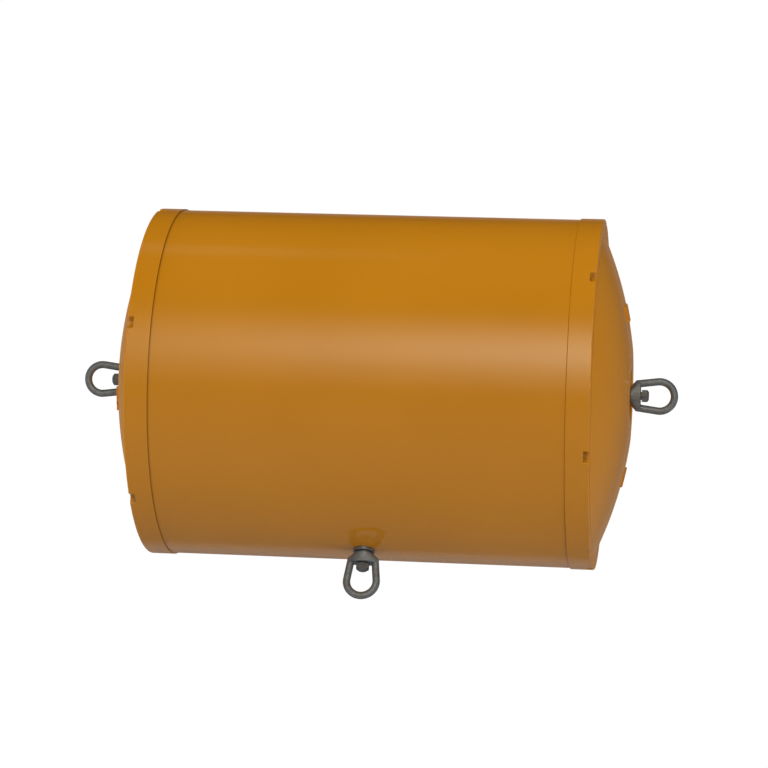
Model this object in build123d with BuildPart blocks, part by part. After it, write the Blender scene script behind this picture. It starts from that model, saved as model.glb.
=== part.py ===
from build123d import *
import math
import os

# Barrier float: a foam filled tube with two domed end caps and three swivel eyes.
# The float's axis is X, the middle eye hangs along -Z, and the origin is on the axis at mid length.
# All sizes are in millimetres.

# Hull tube
hull_radius = 303.0
hull_wall = 12.0
hull_half_length = 349.3
seam_chamfer = 0.7

# End caps: a band outside, a spigot inside the tube, a dome with a flat land and a round recess in it
cap_step = 2.0
cap_band = 40.7
cap_wall = 12.0
spigot_length = 60.0
spigot_clearance = 0.2
rim_width = 29.8
rim_round = 2.0
seam_round = 0.8
dome_radius = 672.0
land_radius = 86.0
land_rise = 53.7
land_round = 12.0
recess_radius = 46.6
recess_depth = 7.7
recess_round = 1.5

# Drive notches in the rim of each cap, with slanting sides, turned from the middle eye's side
notch_count = 6
notch_length = 10.5
notch_width = 22.5
notch_floor = 8.0
notch_depth = 8.5
notch_margin = 3.0
notch_round = 1.5
left_notch_turn = 25.6
right_notch_turn = 13.0

# Raised plain pads on the domes, a long one and a short one together
pad_inner_radius = 130.0
pad_reach = 30.0
pad_height = 3.0
pad_round = 1.2
long_pad_angle = 9.0
short_pad_angle = 4.0
pad_gap_angle = 1.2
left_pad_turn = 47.6
right_low_pad_turn = 24.0
right_high_pad_turn = 205.0

# Swivels: collar on the hull, thrust washer, bolt with a hexagon head, and the forged eye
collar_radius = 18.5
collar_height = 4.8
collar_round = 1.4
washer_radius = 12.0
washer_height = 1.8
bolt_radius = 7.0
bolt_length = 70.0
bolt_chamfer = 1.5
head_gap = 2.3
head_flats = 21.0
head_height = 11.8
head_tip_radius = 6.8
head_bevel = 36.0
eye_lift = 0.3
eye_top_radius = 16.0
eye_top_round = 2.0
eye_half_width = 27.0
eye_half_depth = 14.5
eye_cone_height = 9.7
eye_shoulder_height = 17.7
eye_face_round = 2.5
eye_bar_radius = 6.35
eye_ring_radius = 25.55
eye_ring_rise = 57.4
eye_turn = 23.0

# Fits
thread_gap = 0.05
swivel_gap = 0.08
bolt_hole_gap = 0.5
seat_gap = 0.1
foam_gap = 0.3

# Rods, couplings and plates inside the hull
rod_radius = 10.0
rod_chamfer = 1.5
coupling_flats = 30.0
coupling_length = 50.0
coupling_bevel = 30.0
rod_grip = 24.0
plate_radius = 50.0
plate_thickness = 8.0
plate_round = 1.5
saddle_length = 110.0
saddle_width = 100.0
saddle_thickness = 12.0
saddle_corner = 14.0
block_length = 64.0
block_width = 46.0
block_grip = 20.0
block_chamfer = 3.0

# Places that follow from the sizes
cap_radius = hull_radius + cap_step
hull_bore = hull_radius - hull_wall
rim_distance = hull_half_length + cap_band
spigot_outer = hull_bore - spigot_clearance
spigot_inner = spigot_outer - cap_wall
dome_base = cap_radius - rim_width
recess_floor = land_rise - recess_depth
end_reach = rim_distance + recess_floor
pad_outer = pad_inner_radius + pad_reach
eye_start = collar_height + washer_height + eye_lift
eye_face = eye_start + eye_shoulder_height
head_start = eye_face + head_gap
head_end = head_start + head_height
bolt_hole = bolt_radius + bolt_hole_gap
notch_spread = (notch_width - notch_floor) / 2 / notch_depth * notch_margin


def section_of(base):
    """Plane through the axis of base: x runs outward from the axis, y along it."""
    return Plane(origin=base.origin, x_dir=base.x_dir, z_dir=-base.y_dir)


def axis_of(base):
    return Axis(base.origin, base.z_dir)


def turned(base, angle):
    """The same plane, turned about its own normal."""
    return Plane(origin=base.origin, x_dir=base.x_dir.rotate(Axis((0, 0, 0), base.z_dir), angle), z_dir=base.z_dir)


def dome_centre():
    """Centre of the dome's arc, as distance from the axis and height over the rim."""
    run = land_radius - dome_base
    chord = math.hypot(run, land_rise)
    drop = math.sqrt(dome_radius**2 - (chord / 2) ** 2)
    middle = (dome_base + land_radius) / 2
    return middle - land_rise / chord * drop, land_rise / 2 + run / chord * drop


def dome_height(distance, inset):
    """Height over the rim plane of the dome's surface, moved inward by inset."""
    centre_distance, centre_height = dome_centre()
    return centre_height + math.sqrt((dome_radius - inset) ** 2 - (distance - centre_distance) ** 2)


def dome_distance(height, inset):
    """Distance from the axis at which the dome, moved inward by inset, has this height."""
    centre_distance, centre_height = dome_centre()
    return centre_distance + math.sqrt((dome_radius - inset) ** 2 - (height - centre_height) ** 2)


def dome_arc(start, end, inset):
    """Arc of the dome's section between two distances from the axis."""
    middle = (start + end) / 2
    points = [(distance, dome_height(distance, inset)) for distance in (start, middle, end)]
    return ThreePointArc(*points)


def cap_inside(inset, depth):
    """Section of the hollow inside a cap, from the axis out and back down to the given depth."""
    floor = recess_floor - inset
    roof = dome_height(land_radius, inset)
    boss = recess_radius + inset
    corner = dome_distance(-inset, inset)
    side = spigot_outer - inset
    Line((0, -depth), (0, floor))
    Line((0, floor), (boss, floor))
    Line((boss, floor), (boss, roof))
    Line((boss, roof), (land_radius, roof))
    dome_arc(land_radius, corner, inset)
    Line((corner, -inset), (side, -inset))
    Line((side, -inset), (side, -depth))
    Line((side, -depth), (0, -depth))


def pad_outline():
    """Section of a raised pad, from inside the dome's wall to its height over the dome."""
    root = cap_wall / 2
    for distance in (pad_inner_radius, pad_outer):
        Line((distance, dome_height(distance, root)), (distance, dome_height(distance, -pad_height)))
    dome_arc(pad_inner_radius, pad_outer, root)
    dome_arc(pad_inner_radius, pad_outer, -pad_height)


def make_cap(side, rim, notch_turn, pads):
    section = section_of(rim)
    with BuildPart() as cap:
        with BuildSketch(section):
            with BuildLine():
                Polyline(
                    (0, -cap_band - spigot_length),
                    (spigot_outer, -cap_band - spigot_length),
                    (spigot_outer, -cap_band),
                    (cap_radius, -cap_band),
                    (cap_radius, 0),
                    (dome_base, 0),
                )
                dome_arc(dome_base, land_radius, 0)
                Polyline(
                    (land_radius, land_rise),
                    (recess_radius, land_rise),
                    (recess_radius, recess_floor),
                    (0, recess_floor),
                    (0, -cap_band - spigot_length),
                )
            make_face()
            fillet(vertices().sort_by_distance((cap_radius, 0))[0], rim_round)
            fillet(vertices().sort_by_distance((cap_radius, -cap_band))[0], seam_round)
            fillet(vertices().sort_by_distance((land_radius, land_rise))[0], land_round)
            fillet(vertices().sort_by_distance((recess_radius, land_rise))[0], recess_round)
            fillet(vertices().sort_by_distance((recess_radius, recess_floor))[0], recess_round)
        revolve(axis=axis_of(rim))
        for start, angle in pads:
            with BuildSketch(section_of(turned(rim, start))):
                with BuildLine():
                    pad_outline()
                make_face()
                for distance in (pad_inner_radius, pad_outer):
                    corner = (distance, dome_height(distance, -pad_height))
                    fillet(vertices().sort_by_distance(corner)[0], pad_round)
            revolve(axis=axis_of(rim), revolution_arc=angle)
        with BuildSketch(section):
            with BuildLine():
                cap_inside(cap_wall, cap_band + spigot_length)
            make_face()
        revolve(axis=axis_of(rim), mode=Mode.SUBTRACT)
        with BuildSketch(rim):
            with PolarLocations(cap_radius, notch_count, start_angle=notch_turn):
                Polygon(
                    (-notch_depth, -notch_floor / 2),
                    (notch_margin, -notch_width / 2 - notch_spread),
                    (notch_margin, notch_width / 2 + notch_spread),
                    (-notch_depth, notch_floor / 2),
                    align=None,
                )
        extrude(amount=-notch_length, mode=Mode.SUBTRACT)
        fillet(edges(Select.LAST).filter_by(lambda e: e.length < 2 * notch_width), notch_round)
        with BuildSketch(rim.offset(recess_floor)):
            Circle(bolt_hole)
        extrude(amount=-cap_wall, mode=Mode.SUBTRACT)
    cap.part.label = side + "_end_cap"
    export_step(cap.part, "parts/" + cap.part.label + ".step")


def make_collar(side, seat, cutter):
    with BuildPart() as collar:
        with BuildSketch(section_of(seat)):
            with BuildLine():
                Polyline(
                    (bolt_hole, -collar_round),
                    (collar_radius, -collar_round),
                    (collar_radius, collar_height),
                    (bolt_hole, collar_height),
                    close=True,
                )
            make_face()
            fillet(vertices().sort_by_distance((collar_radius, collar_height))[0], collar_round)
        revolve(axis=axis_of(seat))
        add(cutter, mode=Mode.SUBTRACT)
    collar.part.label = side + "_collar"
    export_step(collar.part, "parts/" + collar.part.label + ".step")


def make_washer(side, seat):
    with BuildPart() as washer:
        with BuildSketch(seat.offset(collar_height)):
            Circle(washer_radius)
            Circle(bolt_radius + swivel_gap, mode=Mode.SUBTRACT)
        extrude(amount=washer_height)
    washer.part.label = side + "_thrust_washer"
    export_step(washer.part, "parts/" + washer.part.label + ".step")


def make_bolt(side, seat):
    tip_edge = head_flats / 2 / math.cos(math.radians(30))
    bevel_drop = (tip_edge - head_tip_radius) * math.tan(math.radians(head_bevel))
    with BuildPart() as bolt:
        with BuildSketch(seat.offset(head_start)):
            RegularPolygon(head_flats / 2, 6, major_radius=False, rotation=30)
        extrude(amount=head_height)
        with BuildSketch(section_of(seat)):
            with BuildLine():
                Polyline(
                    (0, head_start),
                    (tip_edge, head_start),
                    (tip_edge, head_end - bevel_drop),
                    (head_tip_radius, head_end),
                    (0, head_end),
                    close=True,
                )
            make_face()
        revolve(axis=axis_of(seat), mode=Mode.INTERSECT)
        with BuildSketch(seat.offset(head_start)):
            Circle(bolt_radius)
        extrude(amount=-bolt_length)
        chamfer(edges().sort_by(axis_of(seat))[0], bolt_chamfer)
    bolt.part.label = side + "_eye_bolt"
    export_step(bolt.part, "parts/" + bolt.part.label + ".step")


def make_eye(side, seat):
    """Forged eye: a shoulder that widens from a circle to an ellipse, and a round bar bent into the ring."""
    section = section_of(seat)
    wide = eye_start + eye_cone_height
    foot = eye_half_width - eye_bar_radius
    reach = math.hypot(foot, eye_ring_rise - wide)
    turn = math.atan2(foot, eye_ring_rise - wide) + math.acos(eye_ring_radius / reach)
    top = eye_ring_radius * math.sin(turn)
    top_rise = eye_ring_rise - eye_ring_radius * math.cos(turn)
    with BuildPart() as eye:
        with BuildSketch(seat.offset(eye_start)):
            Circle(eye_top_radius)
        with BuildSketch(seat.offset(wide)):
            Ellipse(eye_half_width, eye_half_depth)
        loft()
        with BuildSketch(seat.offset(wide)):
            Ellipse(eye_half_width, eye_half_depth)
        extrude(amount=eye_face - wide)
        fillet(edges().group_by(axis_of(seat))[-1], eye_face_round)
        fillet(edges().group_by(axis_of(seat))[0], eye_top_round)
        with BuildLine(section) as route:
            Line((foot, wide), (top, top_rise))
            ThreePointArc((top, top_rise), (0, eye_ring_rise + eye_ring_radius), (-top, top_rise))
            Line((-top, top_rise), (-foot, wide))
        with BuildSketch(Plane(origin=route.line @ 0, z_dir=route.line % 0)):
            Circle(eye_bar_radius)
        sweep(path=route.line)
        with BuildSketch(seat):
            Circle(bolt_radius + swivel_gap)
        extrude(amount=eye_face, mode=Mode.SUBTRACT)
    eye.part.label = side + "_eye"
    export_step(eye.part, "parts/" + eye.part.label + ".step")


def make_coupling(side, plate_face):
    """Hexagon coupling from the plate's inner face toward the middle of the float."""
    corner = coupling_flats / 2 / math.cos(math.radians(30))
    bevel_drop = (corner - coupling_flats / 2) * math.tan(math.radians(coupling_bevel))
    with BuildPart() as coupling:
        with BuildSketch(plate_face):
            RegularPolygon(coupling_flats / 2, 6, major_radius=False)
        extrude(amount=-coupling_length)
        with BuildSketch(section_of(plate_face)):
            with BuildLine():
                Polyline(
                    (0, 0),
                    (coupling_flats / 2, 0),
                    (corner, -bevel_drop),
                    (corner, bevel_drop - coupling_length),
                    (coupling_flats / 2, -coupling_length),
                    (0, -coupling_length),
                    close=True,
                )
            make_face()
        revolve(axis=axis_of(plate_face), mode=Mode.INTERSECT)
        with BuildSketch(plate_face):
            Circle(bolt_radius + thread_gap)
        extrude(amount=-coupling_length, mode=Mode.SUBTRACT)
        with BuildSketch(plate_face.offset(-coupling_length)):
            Circle(rod_radius + thread_gap)
        extrude(amount=rod_grip, mode=Mode.SUBTRACT)
    coupling.part.label = side + "_coupling"
    export_step(coupling.part, "parts/" + coupling.part.label + ".step")


def make_rod(side, arm, start, end):
    with BuildPart() as rod:
        with BuildSketch(arm.offset(start)):
            Circle(rod_radius)
        extrude(amount=end - start)
        chamfer(edges().filter_by(GeomType.CIRCLE), rod_chamfer)
    rod.part.label = side + "_rod"
    export_step(rod.part, "parts/" + rod.part.label + ".step")


os.makedirs("parts", exist_ok=True)

# The three arms: each plane looks outward along the arm, and its x lies across the eye
across_ends = (0, -math.sin(math.radians(eye_turn)), math.cos(math.radians(eye_turn)))
left_arm = Plane(origin=(0, 0, 0), x_dir=across_ends, z_dir=(-1, 0, 0))
right_arm = Plane(origin=(0, 0, 0), x_dir=across_ends, z_dir=(1, 0, 0))
lower_arm = Plane(origin=(0, 0, 0), x_dir=(1, 0, 0), z_dir=(0, 0, -1))

# Hull tube
with BuildPart() as hull_tube:
    with BuildSketch(Plane.YZ.offset(-hull_half_length)):
        Circle(hull_radius)
        Circle(hull_bore, mode=Mode.SUBTRACT)
    extrude(amount=2 * hull_half_length)
    chamfer(edges().filter_by(GeomType.CIRCLE).filter_by(lambda e: e.radius > hull_bore + 1), seam_chamfer)
    with BuildSketch(lower_arm.offset(hull_bore - hull_wall)):
        Circle(bolt_hole)
    extrude(amount=3 * hull_wall, mode=Mode.SUBTRACT)
hull_tube.part.label = "hull_tube"
export_step(hull_tube.part, "parts/hull_tube.step")

# End caps, seen from outside with the middle eye's side as x
left_rim = Plane(origin=(-rim_distance, 0, 0), x_dir=(0, 0, -1), z_dir=(-1, 0, 0))
right_rim = Plane(origin=(rim_distance, 0, 0), x_dir=(0, 0, -1), z_dir=(1, 0, 0))
left_pads = [
    (left_pad_turn, short_pad_angle),
    (left_pad_turn + short_pad_angle + pad_gap_angle, long_pad_angle),
]
right_pads = []
for pad_turn in (right_low_pad_turn, right_high_pad_turn):
    right_pads.append((pad_turn, long_pad_angle))
    right_pads.append((pad_turn + long_pad_angle + pad_gap_angle, short_pad_angle))
make_cap("left", left_rim, left_notch_turn, left_pads)
make_cap("right", right_rim, right_notch_turn, right_pads)

# Backing plates: round ones inside the caps, and a saddle inside the tube
end_plate_top = end_reach - cap_wall
for side, arm in (("left", left_arm), ("right", right_arm)):
    with BuildPart() as backing_plate:
        with BuildSketch(arm.offset(end_plate_top)):
            Circle(plate_radius)
            Circle(bolt_hole, mode=Mode.SUBTRACT)
        extrude(amount=-plate_thickness)
        fillet(edges().filter_by(lambda e: e.length > math.pi * plate_radius), plate_round)
    backing_plate.part.label = side + "_backing_plate"
    export_step(backing_plate.part, "parts/" + side + "_backing_plate.step")

saddle_face = hull_bore - saddle_thickness
with BuildPart() as lower_saddle:
    with BuildSketch(lower_arm.offset(saddle_face)):
        RectangleRounded(saddle_length, saddle_width, saddle_corner)
        Circle(bolt_hole, mode=Mode.SUBTRACT)
    extrude(amount=saddle_thickness)
    with BuildSketch(Plane.YZ.offset(-saddle_length)):
        Circle(hull_bore - seat_gap)
    extrude(amount=2 * saddle_length, mode=Mode.INTERSECT)
lower_saddle.part.label = "lower_saddle"
export_step(lower_saddle.part, "parts/lower_saddle.step")

# Centre block that joins the three rods
with BuildPart() as centre_block:
    with BuildSketch(Plane.XY.offset(-block_width / 2)):
        Rectangle(block_length, block_width)
    extrude(amount=block_width)
    chamfer(edges(), block_chamfer)
    for arm, half in ((left_arm, block_length / 2), (right_arm, block_length / 2), (lower_arm, block_width / 2)):
        with BuildSketch(arm.offset(half)):
            Circle(rod_radius + thread_gap)
        extrude(amount=-block_grip, mode=Mode.SUBTRACT)
centre_block.part.label = "centre_block"
export_step(centre_block.part, "parts/centre_block.step")

# Rods, couplings and swivels of the three arms
end_plate_face = end_plate_top - plate_thickness
reaches = {"left": end_reach, "right": end_reach, "lower": hull_radius}
plate_faces = {"left": end_plate_face, "right": end_plate_face, "lower": saddle_face}
block_halves = {"left": block_length / 2, "right": block_length / 2, "lower": block_width / 2}
with BuildPart() as hull_cylinder:
    with BuildSketch(Plane.YZ.offset(-hull_half_length)):
        Circle(hull_radius + seat_gap)
    extrude(amount=2 * hull_half_length)
for side, arm in (("left", left_arm), ("right", right_arm), ("lower", lower_arm)):
    seat = arm.offset(reaches[side])
    if side == "lower":
        under_collar = hull_cylinder.part
    else:
        with BuildPart() as below_seat:
            with BuildSketch(seat):
                Circle(recess_radius)
            extrude(amount=-cap_wall)
        under_collar = below_seat.part
    make_collar(side, seat, under_collar)
    make_washer(side, seat)
    make_bolt(side, seat)
    make_eye(side, seat)
    make_coupling(side, arm.offset(plate_faces[side]))
    rod_end = plate_faces[side] - coupling_length + rod_grip
    make_rod(side, arm, block_halves[side] - block_grip, rod_end)

# Foam core: fills the hull and caps around the rods, plates and block
foam_wall = cap_wall + foam_gap
foam_bore = hull_bore - foam_gap
spigot_start = hull_half_length - spigot_length - foam_gap
with BuildPart() as foam_core:
    with BuildSketch(Plane.YZ):
        Circle(foam_bore)
    extrude(amount=spigot_start, both=True)
    for rim in (left_rim, right_rim):
        with BuildSketch(section_of(rim)):
            with BuildLine():
                cap_inside(foam_wall, rim_distance)
            make_face()
        revolve(axis=axis_of(rim))
    with BuildSketch(Plane.XY.offset(-block_width / 2 - foam_gap)):
        Rectangle(block_length + 2 * foam_gap, block_width + 2 * foam_gap)
    extrude(amount=block_width + 2 * foam_gap, mode=Mode.SUBTRACT)
    for side, arm in (("left", left_arm), ("right", right_arm), ("lower", lower_arm)):
        with BuildSketch(arm.offset(0)):
            Circle(rod_radius + foam_gap)
        extrude(amount=plate_faces[side], mode=Mode.SUBTRACT)
        with BuildSketch(arm.offset(plate_faces[side])):
            RegularPolygon(coupling_flats / 2 + foam_gap, 6, major_radius=False)
        extrude(amount=-coupling_length - foam_gap, mode=Mode.SUBTRACT)
    for arm in (left_arm, right_arm):
        with BuildSketch(arm.offset(end_plate_top)):
            Circle(plate_radius + foam_gap)
        extrude(amount=-plate_thickness - foam_gap, mode=Mode.SUBTRACT)
    with BuildSketch(lower_arm.offset(hull_radius)):
        RectangleRounded(saddle_length + 2 * foam_gap, saddle_width + 2 * foam_gap, saddle_corner)
    extrude(amount=saddle_face - foam_gap - hull_radius, mode=Mode.SUBTRACT)
foam_core.part.label = "foam_core"
export_step(foam_core.part, "parts/foam_core.step")
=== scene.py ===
import math
import bpy
import numpy as np
from mathutils import Matrix, Vector


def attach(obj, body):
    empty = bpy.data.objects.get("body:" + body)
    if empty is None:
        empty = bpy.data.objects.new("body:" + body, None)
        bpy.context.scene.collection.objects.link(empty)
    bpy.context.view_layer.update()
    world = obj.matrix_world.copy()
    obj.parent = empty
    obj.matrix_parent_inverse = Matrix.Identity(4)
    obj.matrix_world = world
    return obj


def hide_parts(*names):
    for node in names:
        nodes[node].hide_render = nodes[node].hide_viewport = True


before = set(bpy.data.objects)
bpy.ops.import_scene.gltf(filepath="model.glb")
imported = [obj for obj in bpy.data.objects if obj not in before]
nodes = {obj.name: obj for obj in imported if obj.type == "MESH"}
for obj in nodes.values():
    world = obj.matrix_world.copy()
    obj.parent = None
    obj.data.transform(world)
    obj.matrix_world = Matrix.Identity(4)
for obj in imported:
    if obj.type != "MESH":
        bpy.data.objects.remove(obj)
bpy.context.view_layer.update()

scene = bpy.context.scene
scene.view_settings.view_transform = "Standard"

# Camera: a long lens some five metres away, below the float and a little past its middle toward the right end,
# turned so that the float's axis falls slightly to the right.
camera_place = Vector((0.6530, -4.7007, -1.9953))
camera_right = Vector((0.991693, 0.102488, 0.077728))
camera_up = Vector((-0.031095, -0.395340, 0.918009))
camera_data = bpy.data.cameras.new("long_lens")
camera_data.lens = 137.36
camera_data.sensor_width = 36.0
camera_data.clip_start = 0.05
camera = bpy.data.objects.new("camera", camera_data)
camera_turn = Matrix((camera_right, camera_up, camera_right.cross(camera_up))).transposed()
camera.matrix_world = Matrix.Translation(camera_place) @ camera_turn.to_4x4()
scene.collection.objects.link(camera)
scene.camera = camera


# Hull tube and end caps: thick polyethylene, the tube extruded and the caps moulded in the same orange. Each cap
# butts against the tube's end with a spigot inside. The surface is glossy, with a faint waviness and slightly uneven
# colour. Painted shade darkens the colour by the seams and in the rim notches, where shadow falls.
hull_dark = (0.515, 0.198, 0.0075)
hull_light = (0.545, 0.212, 0.0090)
recess_shade_colour = (0.055, 0.020, 0.003)
hull_ripple = 60.0
cap_ripple = 90.0
ripple_height = 0.00004
plastic_roughness = (0.05, 0.08)
plastic_ior = 1.45
edge_facing = 0.80
edge_roughness = 0.34

# Where the painted shade lies: the seams' places and the notches' beds and rims, with their fades.
seam_place = 0.3493
seam_clear = 0.0002
notch_start = 0.3797
notch_bed = 0.3035
notch_shade = 0.40
notch_fade = 0.0004
bed_fade = 0.0006
rim_place = 0.3895
rim_fade = 0.0060


def noise(tree, place, scale, detail):
    """Noise over object coordinates, in features per metre."""
    texture = tree.nodes.new("ShaderNodeTexNoise")
    texture.inputs["Scale"].default_value = scale
    texture.inputs["Detail"].default_value = detail
    tree.links.new(place, texture.inputs["Vector"])
    return texture.outputs["Fac"]


def ramp(tree, value, stops):
    """Colours by value: stops are two pairs of position and colour."""
    colours = tree.nodes.new("ShaderNodeValToRGB")
    for element, (position, colour) in zip(colours.color_ramp.elements, stops):
        element.position = position
        element.color = (*colour, 1.0)
    tree.links.new(value, colours.inputs["Fac"])
    return colours.outputs["Color"]


def stepped(tree, value, start, end, strength=1.0):
    """Linear step from 0 at start to the strength at end."""
    step = tree.nodes.new("ShaderNodeMapRange")
    step.inputs["From Min"].default_value = start
    step.inputs["From Max"].default_value = end
    step.inputs["To Max"].default_value = strength
    tree.links.new(value, step.inputs["Value"])
    return step.outputs["Result"]


def spread(tree, value, low, high):
    """The middle of a noise's values carried over to a range of numbers."""
    scaled = tree.nodes.new("ShaderNodeMapRange")
    scaled.inputs["From Min"].default_value = 0.3
    scaled.inputs["From Max"].default_value = 0.7
    scaled.inputs["To Min"].default_value = low
    scaled.inputs["To Max"].default_value = high
    tree.links.new(value, scaled.inputs["Value"])
    return scaled.outputs["Result"]


def computed(tree, operation, first, second=None):
    """One number from one or two others."""
    result = tree.nodes.new("ShaderNodeMath")
    result.operation = operation
    tree.links.new(first, result.inputs[0])
    if second is not None:
        tree.links.new(second, result.inputs[1])
    return result.outputs["Value"]


def length(tree, vector):
    """Length of a vector."""
    measure = tree.nodes.new("ShaderNodeVectorMath")
    measure.operation = "LENGTH"
    tree.links.new(vector, measure.inputs[0])
    return measure.outputs["Value"]


def mixed(tree, factor, first, second):
    """Mix of two colours, each an output socket or red, green and blue."""
    blend = tree.nodes.new("ShaderNodeMix")
    blend.data_type = "RGBA"
    tree.links.new(factor, blend.inputs["Factor"])
    for socket, colour in (("A", first), ("B", second)):
        if isinstance(colour, tuple):
            blend.inputs[socket].default_value = (*colour, 1.0)
        else:
            tree.links.new(colour, blend.inputs[socket])
    return blend.outputs["Result"]


def relief(tree, shader, value, height):
    """Bump of a height in metres."""
    bump = tree.nodes.new("ShaderNodeBump")
    bump.inputs["Strength"].default_value = 1.0
    bump.inputs["Distance"].default_value = height
    tree.links.new(value, bump.inputs["Height"])
    tree.links.new(bump.outputs["Normal"], shader.inputs["Normal"])


def blank_material(name):
    """A material, its node tree, its Principled shader and its object coordinates."""
    material = bpy.data.materials.new(name)
    material.use_nodes = True
    tree = material.node_tree
    coordinates = tree.nodes.new("ShaderNodeTexCoord")
    return material, tree, tree.nodes["Principled BSDF"], coordinates.outputs["Object"]


def seam_shade(tree, along_axis, side, begins, full, past, strength):
    """Painted shade at one seam: it begins and is full at these distances on the hull's side, and ends past the seam.
    """
    seam = side * seam_place
    shade_ramp = stepped(tree, along_axis, seam - side * begins, seam - side * full, strength)
    return computed(tree, "MULTIPLY", shade_ramp, stepped(tree, along_axis, seam + side * past, seam + side * seam_clear))


def seam_and_notch_shade(tree, place):
    """Share of painted shade: at both seams, and between the notches' beds and the caps' surface."""
    axes = tree.nodes.new("ShaderNodeSeparateXYZ")
    tree.links.new(place, axes.inputs["Vector"])
    left = seam_shade(tree, axes.outputs["X"], -1, 0.0036, 0.0008, 0.0010, 0.36)
    right = seam_shade(tree, axes.outputs["X"], 1, 0.0016, 0.0006, 0.0006, 0.14)
    off_middle = computed(tree, "ABSOLUTE", axes.outputs["X"])
    section = tree.nodes.new("ShaderNodeCombineXYZ")
    for axis in ("Y", "Z"):
        tree.links.new(axes.outputs[axis], section.inputs[axis])
    radius = length(tree, section.outputs["Vector"])
    deep = stepped(tree, radius, notch_bed, notch_bed - bed_fade, notch_shade)
    begun = stepped(tree, off_middle, notch_start - notch_fade, notch_start)
    ended = stepped(tree, off_middle, rim_place, rim_place - rim_fade)
    notch = computed(tree, "MULTIPLY", computed(tree, "MULTIPLY", deep, begun), ended)
    return computed(tree, "ADD", computed(tree, "ADD", left, right), notch)


def moulded_orange(name, ripple):
    """Orange plastic that is duller where it is seen edge on."""
    material, tree, shader, place = blank_material(name)
    tone = ramp(tree, noise(tree, place, 3.0, 3.0), ((0.35, hull_dark), (0.65, hull_light)))
    # Painted shade: the colour is darkened by the seams and in the notches, where shadow falls.
    shaded = mixed(tree, seam_and_notch_shade(tree, place), tone, recess_shade_colour)
    tree.links.new(shaded, shader.inputs["Base Color"])
    gloss = spread(tree, noise(tree, place, 9.0, 4.0), *plastic_roughness)
    facing = tree.nodes.new("ShaderNodeLayerWeight").outputs["Facing"]
    dulled = stepped(tree, facing, edge_facing, 1.0, edge_roughness)
    tree.links.new(computed(tree, "ADD", gloss, dulled), shader.inputs["Roughness"])
    relief(tree, shader, noise(tree, place, ripple, 2.0), ripple_height)
    shader.inputs["IOR"].default_value = plastic_ior
    return material


def finish_node(name, material):
    """Gives a CAD node this material in each of its slots."""
    slots = nodes[name].data.materials
    if not slots:
        slots.append(material)
    for i in range(len(slots)):
        slots[i] = material


finish_node("hull_tube", moulded_orange("extruded_orange", hull_ripple))
cap_orange = moulded_orange("moulded_orange", cap_ripple)
finish_node("left_end_cap", cap_orange)
finish_node("right_end_cap", cap_orange)


# Foam core: closed cell foam, poured into the hull through one end and left to set round the rods. Pale yellow,
# dull, with fine cells.
foam_dark = (0.72, 0.62, 0.40)
foam_light = (0.82, 0.74, 0.52)
foam_roughness = 0.9
cells_per_metre = 600.0
cell_depth = 0.0004


def poured_foam():
    material, tree, shader, place = blank_material("poured_foam")
    tone = ramp(tree, noise(tree, place, 40.0, 4.0), ((0.3, foam_dark), (0.7, foam_light)))
    tree.links.new(tone, shader.inputs["Base Color"])
    cells = tree.nodes.new("ShaderNodeTexVoronoi")
    cells.inputs["Scale"].default_value = cells_per_metre
    tree.links.new(place, cells.inputs["Vector"])
    relief(tree, shader, cells.outputs["Distance"], cell_depth)
    shader.inputs["Roughness"].default_value = foam_roughness
    return material


finish_node("foam_core", poured_foam())


# Rods, couplings, plates, saddle and centre block: plain machined steel inside the foam, with a fine turned grain.
# The centre block joins the rods, which carry the pull from eye to eye.
machined_dark = (0.36, 0.36, 0.37)
machined_light = (0.46, 0.46, 0.46)
machined_roughness = (0.28, 0.42)
grain_height = 0.00001


def machined_steel():
    material, tree, shader, place = blank_material("machined_steel")
    tone = ramp(tree, noise(tree, place, 25.0, 3.0), ((0.3, machined_dark), (0.7, machined_light)))
    tree.links.new(tone, shader.inputs["Base Color"])
    grain = noise(tree, place, 900.0, 2.0)
    tree.links.new(spread(tree, grain, *machined_roughness), shader.inputs["Roughness"])
    relief(tree, shader, grain, grain_height)
    shader.inputs["Metallic"].default_value = 1.0
    return material


inner_steel = machined_steel()
for side in ("left", "right", "lower"):
    finish_node(side + "_rod", inner_steel)
    finish_node(side + "_coupling", inner_steel)
for name in ("left_backing_plate", "right_backing_plate", "lower_saddle", "centre_block"):
    finish_node(name, inner_steel)


# Collars, thrust washers and eye bolts of the swivels: dark oiled steel, scaled in the forge, with brown patches.
# The bolt runs through the eye's shoulder, the washer and the collar, and its head stands inside the eye.
oiled_dark = (0.13, 0.133, 0.137)
oiled_light = (0.21, 0.212, 0.212)
oiled_patches = (0.16, 0.14, 0.12)
oiled_roughness = (0.40, 0.54)
scale_metallic = 0.7
pit_depth = 0.00004


def forged_steel(name, dark, light, patch, roughness):
    """Steel with an uneven forging scale, patches of another colour and fine pits."""
    material, tree, shader, place = blank_material(name)
    scale_tone = ramp(tree, noise(tree, place, 120.0, 6.0), ((0.32, dark), (0.68, light)))
    share = ramp(tree, noise(tree, place, 45.0, 5.0), ((0.52, (0.0, 0.0, 0.0)), (0.70, (1.0, 1.0, 1.0))))
    tree.links.new(mixed(tree, share, scale_tone, patch), shader.inputs["Base Color"])
    tree.links.new(spread(tree, noise(tree, place, 200.0, 4.0), *roughness), shader.inputs["Roughness"])
    relief(tree, shader, noise(tree, place, 700.0, 6.0), pit_depth)
    shader.inputs["Metallic"].default_value = scale_metallic
    return material


oiled_steel = forged_steel("oiled_steel", oiled_dark, oiled_light, oiled_patches, oiled_roughness)
for side in ("left", "right", "lower"):
    for part in ("_collar", "_thrust_washer", "_eye_bolt"):
        finish_node(side + part, oiled_steel)


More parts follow.
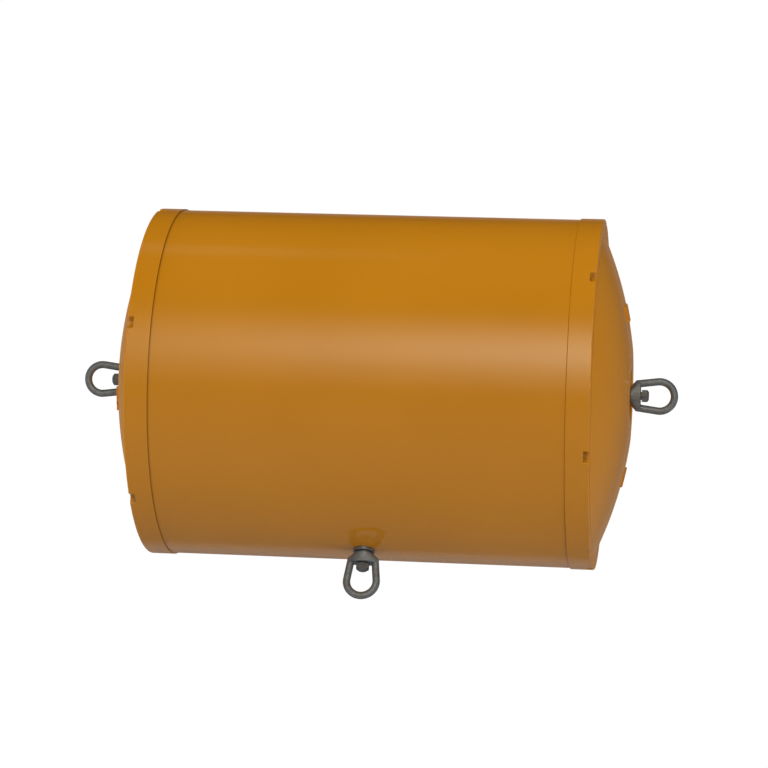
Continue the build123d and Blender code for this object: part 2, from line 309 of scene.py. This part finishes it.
# Swivel eyes: drop forged steel, each in one piece, turning freely on its bolt. A conical shoulder widens from the
# bolt's hole to a flattened belt, and a round bar leaves it on both sides and bends into the ring, with soft roots
# where the legs leave the shoulder.
eye_dark = (0.152, 0.164, 0.180)
eye_light = (0.222, 0.238, 0.258)
eye_patches = (0.18, 0.176, 0.172)
eye_roughness = (0.50, 0.62)
eye_start = 0.0069
eye_belt = 0.0166
eye_face = 0.0246
eye_top_radius = 0.0160
eye_half_width = 0.0270
eye_half_depth = 0.0145
eye_hole = 0.0073
bar_radius = 0.0065
ring_radius = 0.02555
ring_rise = 0.0574
end_seat = 0.436
lower_seat = 0.303
end_eye_turn = math.radians(23.0)
corner_steps = 6
shoulder_steps = 96
bar_steps = 48
arc_steps = 120
leg_steps = 24
skin_cell = 0.0005
root_softening = 24


def rounded(corners, radius):
    """Closed outline through the corners, each corner replaced by a parabola that touches both its sides."""
    before = np.roll(corners, 1, axis=0) - corners
    after = np.roll(corners, -1, axis=0) - corners
    before /= np.linalg.norm(before, axis=1, keepdims=True)
    after /= np.linalg.norm(after, axis=1, keepdims=True)
    t = np.linspace(0.0, 1.0, corner_steps)[None, :, None]
    first = (corners + before * radius[:, None])[:, None, :]
    last = (corners + after * radius[:, None])[:, None, :]
    return ((1 - t) ** 2 * first + 2 * t * (1 - t) * corners[:, None, :] + t ** 2 * last).reshape(-1, 3)


def shoulder_surface():
    """Rows of the outline (half width, half depth, rise), each swept round an ellipse: width times the angle's
    cosine, depth times its sine."""
    corners = np.array([
        (eye_hole, eye_hole, eye_start),
        (eye_top_radius, eye_top_radius, eye_start),
        (eye_half_width, eye_half_depth, eye_belt),
        (eye_half_width, eye_half_depth, eye_face),
        (eye_hole, eye_hole, eye_face),
    ])
    outline = rounded(corners, np.array([0.0004, 0.0015, 0.0008, 0.0018, 0.0004]))
    angle = np.linspace(0.0, 2 * np.pi, shoulder_steps, endpoint=False)
    width = outline[:, None, 0] * np.cos(angle)
    depth = outline[:, None, 1] * np.sin(angle)
    rise = np.broadcast_to(outline[:, None, 2], width.shape)
    return np.stack((width, depth, rise), axis=2)


def bar_surface():
    """A circle of the bar's radius carried along the bow: straight leg, arc of the ring, straight leg."""
    foot = eye_half_width - bar_radius
    reach = math.hypot(foot, ring_rise - eye_belt)
    swing = math.atan2(foot, ring_rise - eye_belt) + math.acos(ring_radius / reach)
    turns = np.linspace(swing, 2 * np.pi - swing, arc_steps)
    arc = np.stack((ring_radius * np.sin(turns), ring_rise - ring_radius * np.cos(turns)), axis=1)
    part = np.linspace(0.0, 1.0, leg_steps, endpoint=False)[:, None]
    leg = (1 - part) * np.array((foot, eye_belt)) + part * arc[0]
    route = np.concatenate((leg, arc, leg[::-1] * (-1.0, 1.0)))
    tangent = np.gradient(route, axis=0)
    tangent /= np.linalg.norm(tangent, axis=1, keepdims=True)
    normal = np.stack((tangent[:, 1], -tangent[:, 0]), axis=1)
    angle = np.linspace(0.0, 2 * np.pi, bar_steps, endpoint=False)
    aside = bar_radius * np.cos(angle)[None, :, None]
    flat = route[:, None, :] + aside * normal[:, None, :]
    depth = np.broadcast_to(bar_radius * np.sin(angle), flat.shape[:2])
    return np.stack((flat[:, :, 0], depth, flat[:, :, 1]), axis=2)


def grid_faces(rows, columns, start, closed):
    """Quads of a grid that is closed round its columns, and round its rows too or ended by flat caps."""
    index = start + np.arange(rows * columns).reshape(rows, columns)
    lower = index if closed else index[:-1]
    upper = np.roll(index, -1, axis=0) if closed else index[1:]
    quads = np.stack((lower, np.roll(lower, -1, axis=1), np.roll(upper, -1, axis=1), upper), axis=2)
    faces = quads.reshape(-1, 4).tolist()
    if not closed:
        faces += [index[0, ::-1].tolist(), index[-1].tolist()]
    return faces


def swivel_eye(side, seat, across):
    """Both surfaces set on the arm through seat, with the eye's width along across, joined into one skin."""
    outward = Vector(seat).normalized()
    eye_axes = np.array((across, outward.cross(Vector(across)), outward))
    shoulder = shoulder_surface()
    bar = bar_surface()
    points = np.concatenate((shoulder.reshape(-1, 3), bar.reshape(-1, 3))) @ eye_axes + np.array(seat)
    faces = grid_faces(*shoulder.shape[:2], 0, True)
    faces += grid_faces(*bar.shape[:2], shoulder.shape[0] * shoulder.shape[1], False)
    mesh = bpy.data.meshes.new(side + "_forged_eye")
    mesh.from_pydata(points.tolist(), [], faces)
    mesh.materials.append(eye_steel)
    eye = bpy.data.objects.new(side + "_forged_eye", mesh)
    scene.collection.objects.link(eye)
    skin = eye.modifiers.new("one_skin", "REMESH")
    skin.mode = "VOXEL"
    skin.voxel_size = skin_cell
    skin.use_smooth_shade = True
    soften = eye.modifiers.new("soft_roots", "SMOOTH")
    soften.factor = 0.5
    soften.iterations = root_softening
    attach(eye, side + "_swivel")
    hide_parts(side + "_eye")


eye_steel = forged_steel("forged_steel", eye_dark, eye_light, eye_patches, eye_roughness)
across_ends = (0.0, -math.sin(end_eye_turn), math.cos(end_eye_turn))
swivel_eye("left", (-end_seat, 0.0, 0.0), across_ends)
swivel_eye("right", (end_seat, 0.0, 0.0), across_ends)
swivel_eye("lower", (0.0, 0.0, -lower_seat), (1.0, 0.0, 0.0))


# Floor: plain and pale, well below the float. It fades out far from the float and is see-through from below, as the
# camera looks up past its edge.
floor_half = 9.0
floor_height = -2.6
floor_tones = ((0.3, (0.58,) * 3), (0.7, (0.60,) * 3))
floor_roughness = 0.8
floor_full = 2.0
floor_gone = 8.5


def graded(tree, value, low, high):
    """Smooth step from 0 at low to 1 at high."""
    step = tree.nodes.new("ShaderNodeMapRange")
    step.interpolation_type = "SMOOTHSTEP"
    step.inputs["From Min"].default_value = low
    step.inputs["From Max"].default_value = high
    tree.links.new(value, step.inputs["Value"])
    return step.outputs["Result"]


def pale_floor():
    material, tree, shader, place = blank_material("pale_floor")
    tree.links.new(ramp(tree, noise(tree, place, 0.5, 2.0), floor_tones), shader.inputs["Base Color"])
    shader.inputs["Roughness"].default_value = floor_roughness
    present = graded(tree, length(tree, place), floor_gone, floor_full)
    underside = tree.nodes.new("ShaderNodeNewGeometry").outputs["Backfacing"]
    from_above = computed(tree, "SUBTRACT", present, underside)
    from_above.node.use_clamp = True
    tree.links.new(from_above, shader.inputs["Alpha"])
    return material


floor_mesh = bpy.data.meshes.new("studio_floor")
floor_corners = [(x * floor_half, y * floor_half, 0.0) for x, y in ((-1, -1), (1, -1), (1, 1), (-1, 1))]
floor_mesh.from_pydata(floor_corners, [], [(0, 1, 2, 3)])
floor_mesh.materials.append(pale_floor())
floor = bpy.data.objects.new("studio_floor", floor_mesh)
floor.location.z = floor_height
scene.collection.objects.link(floor)


# Lamps: six softboxes that don't show in the gloss, so that they only set the plain level. Each is given by its
# distance, azimuth and elevation, width and height, and power.
def softbox(name, distance, azimuth, elevation, width, height, power):
    """An area light aimed at the float's middle, from an azimuth (0 is the camera's side) and an elevation."""
    turn, lift = math.radians(azimuth), math.radians(elevation)
    away = Vector((math.sin(turn) * math.cos(lift), -math.cos(turn) * math.cos(lift), math.sin(lift)))
    light = bpy.data.lights.new(name, "AREA")
    light.shape = "RECTANGLE"
    light.size = width
    light.size_y = height
    light.energy = power
    lamp = bpy.data.objects.new(name, light)
    lamp.location = away * distance
    lamp.rotation_euler = (-away).to_track_quat("-Z", "Y").to_euler()
    lamp.visible_glossy = False
    scene.collection.objects.link(lamp)


softbox("ceiling_light", 6.0, 10.0, 72.0, 6.0, 5.0, 148.0)
softbox("front_light", 4.0, 5.0, 14.0, 3.0, 3.0, 45.0)
softbox("low_light", 2.0, 0.0, -78.0, 2.4, 2.0, 2.6)
softbox("left_light", 4.0, -88.0, 5.0, 2.5, 2.5, 122.0)
softbox("right_light", 4.0, 97.0, -14.0, 2.5, 2.5, 70.0)
softbox("back_light", 4.0, 180.0, 55.0, 2.4, 1.6, 34.0)


# Room: its level depends only on the direction, the same for every kind of ray. It is soft grey, with a warm bright
# band on the camera's side for the long highlight, a weak strip high on the left, and a white backdrop straight ahead
# of the camera with a soft halo round it. Levels are shares of the brightest, because a ramp holds no more than 1.
brightest = 7.0
band_warmth = 0.965
grey = {"white": 1.02, "halo": 0.26, "strip": 0.24}
backdrop_edge = (0.150, 0.134)
halo_edge = (0.50, 0.15)
toward_camera_side = (0.20, -0.98, 0.0)
room_stops = (
    (-1.00, 0.27), (-0.40, 0.30), (-0.20, 0.36), (0.00, 0.28),
    (0.20, 0.14), (0.40, 0.09), (0.65, 0.02), (1.00, 0.0),
)
band_stops = (
    (-1.00, 0.26), (-0.60, 0.30), (-0.40, 0.45), (-0.18, 2.3), (0.04, 6.8),
    (0.26, 3.0), (0.44, 0.12), (0.62, 0.0), (1.00, 0.0),
)

world = bpy.data.worlds.new("studio")
scene.world = world
world.use_nodes = True
sky = world.node_tree
ground = sky.nodes["Background"]
ground.inputs["Strength"].default_value = brightest
direction = sky.nodes.new("ShaderNodeTexCoord").outputs["Generated"]
split = sky.nodes.new("ShaderNodeSeparateXYZ")
sky.links.new(direction, split.inputs["Vector"])
height = split.outputs["Z"]


def levels(stops, warmth=1.0):
    """Level by the direction's height, from -1 at the nadir to 1 at the zenith; warmth is the share that green
    keeps, and blue keeps its seventh power."""
    shades = sky.nodes.new("ShaderNodeValToRGB")
    shades.color_ramp.interpolation = "B_SPLINE"
    while len(shades.color_ramp.elements) < len(stops):
        shades.color_ramp.elements.new(0.5)
    for element, (place, level) in zip(shades.color_ramp.elements, stops):
        element.position = (place + 1) / 2
        share = level / brightest
        element.color = (share, share * warmth, share * warmth ** 7, 1.0)
    sky.links.new(stepped(sky, height, -1.0, 1.0), shades.inputs["Fac"])
    return shades.outputs["Color"]


def along(vector):
    """Share of the direction along a vector."""
    aim = sky.nodes.new("ShaderNodeVectorMath")
    aim.operation = "DOT_PRODUCT"
    aim.inputs[1].default_value = tuple(vector)
    sky.links.new(direction, aim.inputs[0])
    return aim.outputs["Value"]


def both(first, second):
    return computed(sky, "MULTIPLY", first, second)


def off_axis(vector):
    """Tangent of the angle from the backdrop's middle, measured along a vector."""
    return computed(sky, "ABSOLUTE", computed(sky, "DIVIDE", along(vector), forward))


def plain(name):
    return (grey[name] / brightest,) * 3


rightward = along((1.0, 0.0, 0.0))
breadth = both(graded(sky, rightward, -0.36, 0.13), graded(sky, rightward, 0.50, 0.18))
camera_side = both(graded(sky, along(toward_camera_side), 0.2, 0.95), breadth)

frontward = along((0.0, -1.0, 0.0))
strip = both(graded(sky, frontward, 0.12, 0.22), graded(sky, frontward, 0.40, 0.28))
strip = both(strip, graded(sky, height, 0.0, 0.5))
strip = both(graded(sky, rightward, -0.075, -0.19), strip)

forward = along(camera_up.cross(camera_right))
front_half = graded(sky, forward, 0.0, 0.1)
off_middle = computed(sky, "MAXIMUM", off_axis(camera_right), off_axis(camera_up))
backdrop = both(front_half, graded(sky, off_middle, *backdrop_edge))
halo = both(front_half, graded(sky, off_middle, *halo_edge))

lit = mixed(sky, strip, levels(room_stops), plain("strip"))
lit = mixed(sky, camera_side, lit, levels(band_stops, band_warmth))
lit = mixed(sky, halo, lit, plain("halo"))
lit = mixed(sky, backdrop, lit, plain("white"))
sky.links.new(lit, ground.inputs["Color"])
